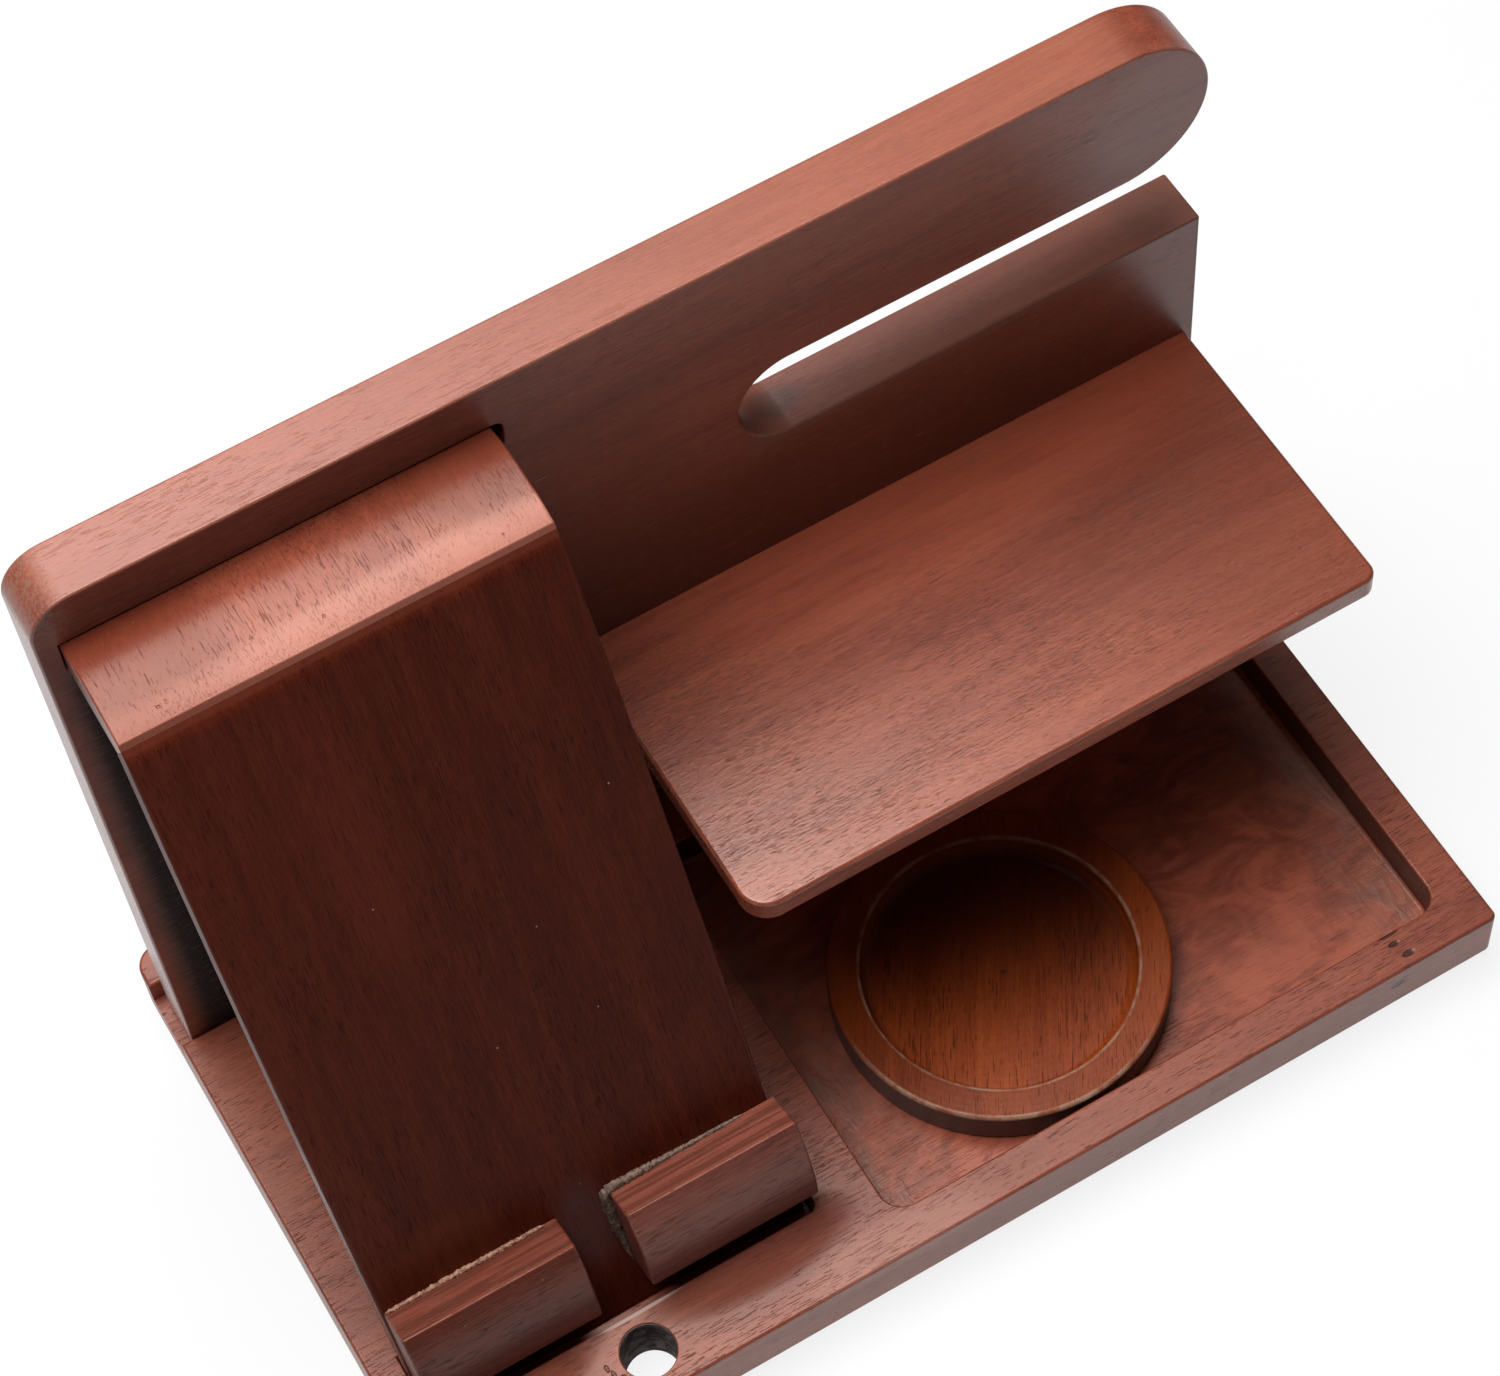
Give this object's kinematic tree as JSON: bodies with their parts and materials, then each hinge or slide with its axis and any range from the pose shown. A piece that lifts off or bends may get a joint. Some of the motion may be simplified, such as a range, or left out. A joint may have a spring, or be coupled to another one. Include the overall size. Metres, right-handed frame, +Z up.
{
  "type": "wooden valet stand",
  "caption": "Bedside wooden valet stand: base with a coin tray, upright panel with a watch arm, sloping phone rest with cable gap, small shelf and a loose round dish.",
  "frame": {"origin": "middle of the base's footprint, on the surface that the pads stand on", "axes": "+X along the panel towards the watch arm's end, +Y to the back, +Z up"},
  "size_m": [0.24, 0.1386, 0.178],
  "materials": {
    "base_wood": "satin lacquer over reddish-brown stain, grain along the length",
    "panel_wood": "satin lacquer over reddish-brown stain, grain along the length",
    "rest_wood": "satin lacquer over dark reddish-brown stain, grain up the slope",
    "cap_wood": "satin lacquer over reddish-brown stain, grain front to back",
    "lip_wood": "satin lacquer over reddish-brown stain, grain along the lip",
    "shelf_wood": "satin lacquer over reddish-brown stain, grain along the length",
    "dish_wood": "glossier lacquer over amber-brown stain, turned",
    "pad_rubber": "matt black"
  },
  "bodies": {
    "base": {"base_board": "base_wood", "foot_pads": "pad_rubber"},
    "upright": {"back_panel": "panel_wood", "rest_board": "rest_wood", "rest_cap": "cap_wood", "left_lip": "lip_wood", "right_lip": "lip_wood"},
    "shelf": {"watch_shelf": "shelf_wood"},
    "dish": {"coin_dish": "dish_wood"}
  },
  "joints": [
    {"name": "upright_lift", "type": "slide", "parent": "base", "child": "upright", "axis": [0, 0, 1], "range_m": [0, 0.03]},
    {"name": "shelf_pull", "type": "slide", "parent": "upright", "child": "shelf", "axis": [0, -1, 0], "range_m": [0, 0.02]},
    {"name": "dish_lift", "type": "slide", "parent": "base", "child": "dish", "axis": [0, 0, 1], "range_m": [0, 0.05]}
  ]
}
